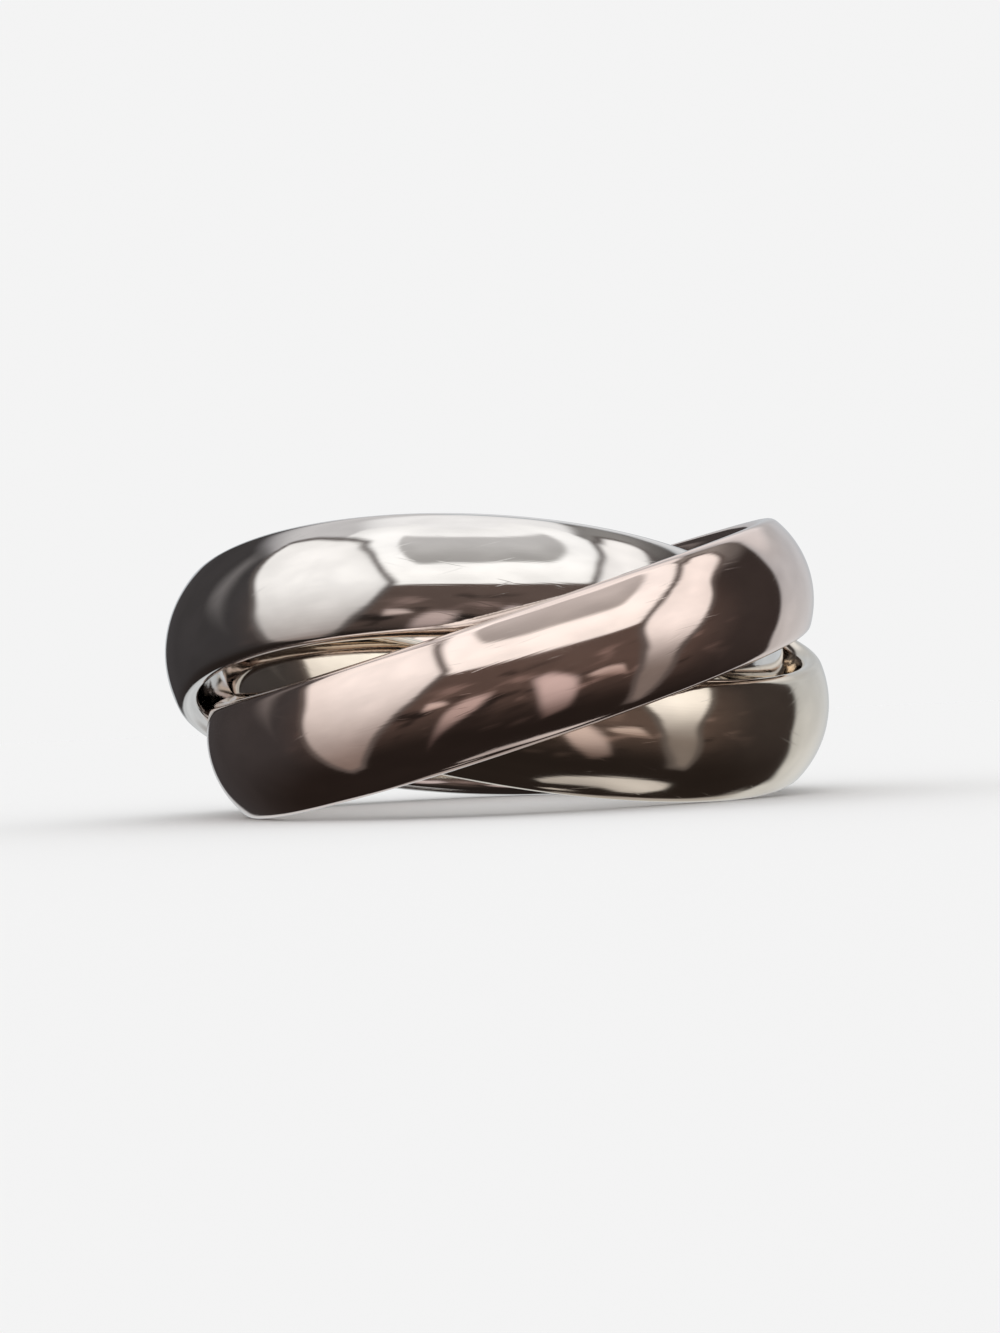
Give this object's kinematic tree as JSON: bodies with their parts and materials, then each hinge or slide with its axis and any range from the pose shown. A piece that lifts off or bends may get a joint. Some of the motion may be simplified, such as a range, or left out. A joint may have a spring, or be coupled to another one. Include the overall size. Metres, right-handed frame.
{
  "type": "rolling ring",
  "caption": "Finger ring made of interlinked domed bands in white, rose and yellow gold, which nest together and roll over one another.",
  "frame": {"origin": "on the finger's axis, in the surface that the ring lies on", "axes": "+Z along the finger's axis, up out of that surface; -Y is the front, where the rose band runs outermost; +X is the right, where the rose band is highest"},
  "size_m": [0.025, 0.0249, 0.0104],
  "materials": {
    "white_gold": "high polish",
    "rose_gold": "high polish",
    "yellow_gold": "high polish"
  },
  "bodies": {
    "white": {"white_band": "white_gold"},
    "rose": {"rose_band": "rose_gold"},
    "yellow": {"yellow_band": "yellow_gold"}
  },
  "joints": [
    {"name": "rose_spin", "type": "hinge", "parent": "white", "child": "rose", "pos_m": [0.00027, -0.00107, 0.00518], "axis": [-0.2766, -0.069, 0.9585], "continuous": true},
    {"name": "yellow_spin", "type": "hinge", "parent": "white", "child": "yellow", "pos_m": [0.00079, 0.00076, 0.00518], "axis": [0.198, -0.205, 0.9585], "continuous": true}
  ]
}
